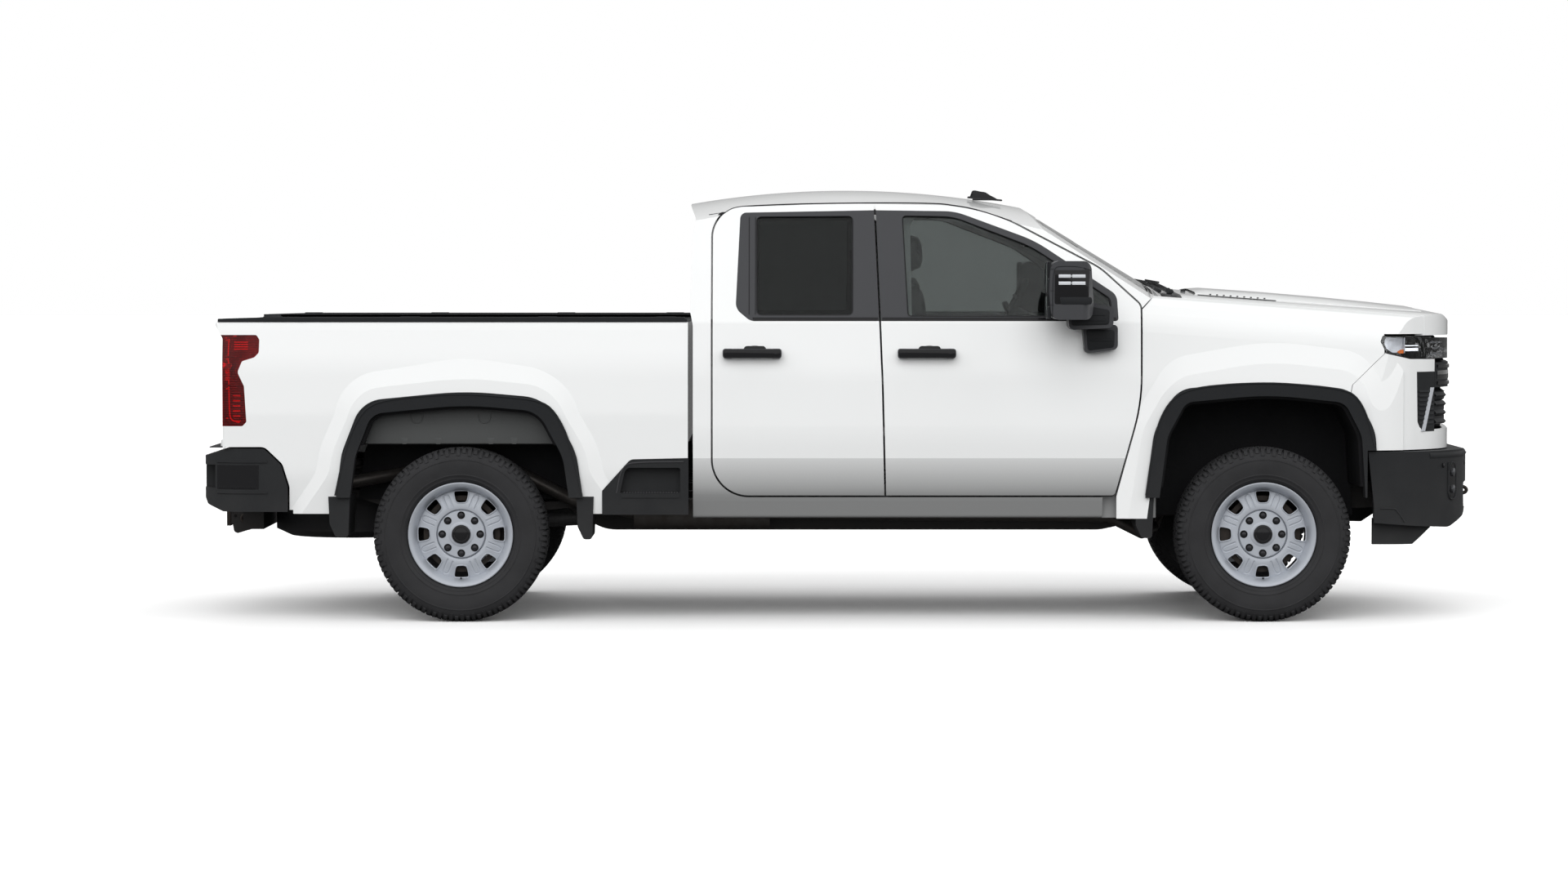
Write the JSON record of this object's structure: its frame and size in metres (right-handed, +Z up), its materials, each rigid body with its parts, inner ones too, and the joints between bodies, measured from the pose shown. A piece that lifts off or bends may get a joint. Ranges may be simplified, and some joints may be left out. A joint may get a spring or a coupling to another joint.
{
  "type": "pickup truck",
  "caption": "White heavy-duty double-cab pickup truck with four doors, an open cargo bed with tailgate, steel wheels and towing mirrors.",
  "frame": {"origin": "on the ground under the middle of the truck's overall box", "axes": "+X forward, +Y to the truck's left, +Z up"},
  "size_m": [6.109, 2.67, 2.0508],
  "materials": {
    "body_paint": "white gloss paint",
    "black_plastic": "textured black plastic",
    "tinted_glass": "tinted glass",
    "lamp_clear": "clear lamp lens",
    "lamp_red": "red lamp lens",
    "liner_plastic": "moulded liner",
    "chassis_paint": "black chassis paint",
    "engine_metal": "cast aluminium",
    "exhaust_steel": "bare steel",
    "tyre_rubber": "tyre rubber",
    "wheel_paint": "silver wheel paint",
    "knuckle_iron": "cast iron",
    "trim_plastic": "dark interior plastic",
    "seat_fabric": "dark woven cloth"
  },
  "bodies": {
    "body": {"arch_liners": "liner_plastic", "bed_floor": "body_paint", "bed_sides": "body_paint", "body_mouldings": "black_plastic", "cab_glass": "tinted_glass", "cab_shell": "body_paint", "cowl_panel": "black_plastic", "dashboard": "trim_plastic", "driveline": "engine_metal", "engine_block": "engine_metal", "exhaust": "exhaust_steel", "frame_crossmembers": "chassis_paint", "frame_rails": "chassis_paint", "front_bumper": "black_plastic", "front_fascia": "body_paint", "front_fenders": "body_paint", "front_seats": "seat_fabric", "front_suspension": "chassis_paint", "fuel_tank": "liner_plastic", "grille": "black_plastic", "headlamps": "lamp_clear", "hitch_receiver": "chassis_paint", "leaf_springs": "chassis_paint", "rear_axle": "chassis_paint", "rear_bumper": "black_plastic", "rear_seat": "seat_fabric", "roof_antenna": "black_plastic", "spare_wheel": "tyre_rubber", "tail_lamps": "lamp_red"},
    "door_front_right": {"door_front_right": "body_paint", "door_front_right_glass": "tinted_glass", "door_front_right_trim": "black_plastic"},
    "door_front_left": {"door_front_left": "body_paint", "door_front_left_glass": "tinted_glass", "door_front_left_trim": "black_plastic"},
    "door_rear_right": {"door_rear_right": "body_paint", "door_rear_right_glass": "tinted_glass", "door_rear_right_trim": "black_plastic"},
    "door_rear_left": {"door_rear_left": "body_paint", "door_rear_left_glass": "tinted_glass", "door_rear_left_trim": "black_plastic"},
    "hood": {"hood": "body_paint"},
    "tailgate": {"tailgate": "body_paint"},
    "fuel_door": {"fuel_door": "body_paint"},
    "steering_wheel": {"steering_wheel": "trim_plastic"},
    "knuckle_left": {"knuckle_left": "knuckle_iron"},
    "knuckle_right": {"knuckle_right": "knuckle_iron"},
    "steering_link": {"steering_link": "chassis_paint"},
    "wheel_front_left": {"tyre_front_left": "tyre_rubber", "rim_front_left": "wheel_paint"},
    "wheel_front_right": {"tyre_front_right": "tyre_rubber", "rim_front_right": "wheel_paint"},
    "wheel_rear_left": {"tyre_rear_left": "tyre_rubber", "rim_rear_left": "wheel_paint"},
    "wheel_rear_right": {"tyre_rear_right": "tyre_rubber", "rim_rear_right": "wheel_paint"}
  },
  "joints": [
    {"name": "door_front_right_hinge", "type": "hinge", "parent": "body", "child": "door_front_right", "pos_m": [1.31, -1, 0.9], "axis": [0, 0, 1], "range_deg": [0, 65]},
    {"name": "door_front_left_hinge", "type": "hinge", "parent": "body", "child": "door_front_left", "pos_m": [1.31, 1, 0.9], "axis": [0, 0, -1], "range_deg": [0, 65]},
    {"name": "door_rear_right_hinge", "type": "hinge", "parent": "body", "child": "door_rear_right", "pos_m": [0.11, -1, 0.9], "axis": [0, 0, 1], "range_deg": [0, 70]},
    {"name": "door_rear_left_hinge", "type": "hinge", "parent": "body", "child": "door_rear_left", "pos_m": [0.11, 1, 0.9], "axis": [0, 0, -1], "range_deg": [0, 70]},
    {"name": "hood_hinge", "type": "hinge", "parent": "body", "child": "hood", "pos_m": [1.68, 0, 1.51], "axis": [0, -1, 0], "range_deg": [0, 48]},
    {"name": "tailgate_hinge", "type": "hinge", "parent": "body", "child": "tailgate", "pos_m": [-2.94, 0, 0.841], "axis": [0, -1, 0], "range_deg": [0, 90]},
    {"name": "fuel_door_hinge", "type": "hinge", "parent": "body", "child": "fuel_door", "pos_m": [-0.957, 0.9875, 1.17], "axis": [0, 0, -1], "range_deg": [0, 95]},
    {"name": "steer_left", "type": "hinge", "parent": "body", "child": "knuckle_left", "pos_m": [1.9845, 0.79, 0.412], "axis": [0, 0, 1], "range_deg": [-33, 33]},
    {"name": "steer_right", "type": "hinge", "parent": "body", "child": "knuckle_right", "pos_m": [1.9845, -0.79, 0.412], "axis": [0, 0, 1], "range_deg": [-33, 33]},
    {"name": "steering_link_slide", "type": "slide", "parent": "body", "child": "steering_link", "axis": [0, -1, 0], "range_m": [-0.075, 0.075]},
    {"name": "steering_wheel_turn", "type": "hinge", "parent": "body", "child": "steering_wheel", "pos_m": [0.86, 0.4, 1.45], "axis": [-0.9063, 0, 0.4226], "range_deg": [-500, 500]},
    {"name": "wheel_front_left_spin", "type": "hinge", "parent": "knuckle_left", "child": "wheel_front_left", "pos_m": [1.9845, 0.8735, 0.412], "axis": [0, 1, 0], "continuous": true},
    {"name": "wheel_front_right_spin", "type": "hinge", "parent": "knuckle_right", "child": "wheel_front_right", "pos_m": [1.9845, -0.8735, 0.412], "axis": [0, 1, 0], "continuous": true},
    {"name": "wheel_rear_left_spin", "type": "hinge", "parent": "body", "child": "wheel_rear_left", "pos_m": [-1.8105, 0.8735, 0.412], "axis": [0, 1, 0], "continuous": true},
    {"name": "wheel_rear_right_spin", "type": "hinge", "parent": "body", "child": "wheel_rear_right", "pos_m": [-1.8105, -0.8735, 0.412], "axis": [0, 1, 0], "continuous": true}
  ],
  "couplings": [
    {"joint": "steer_right", "follows": "steer_left", "ratio": 1},
    {"joint": "steering_link_slide", "follows": "steer_left", "m_per_rad": 0.12},
    {"joint": "steering_wheel_turn", "follows": "steer_left", "ratio": 15}
  ]
}
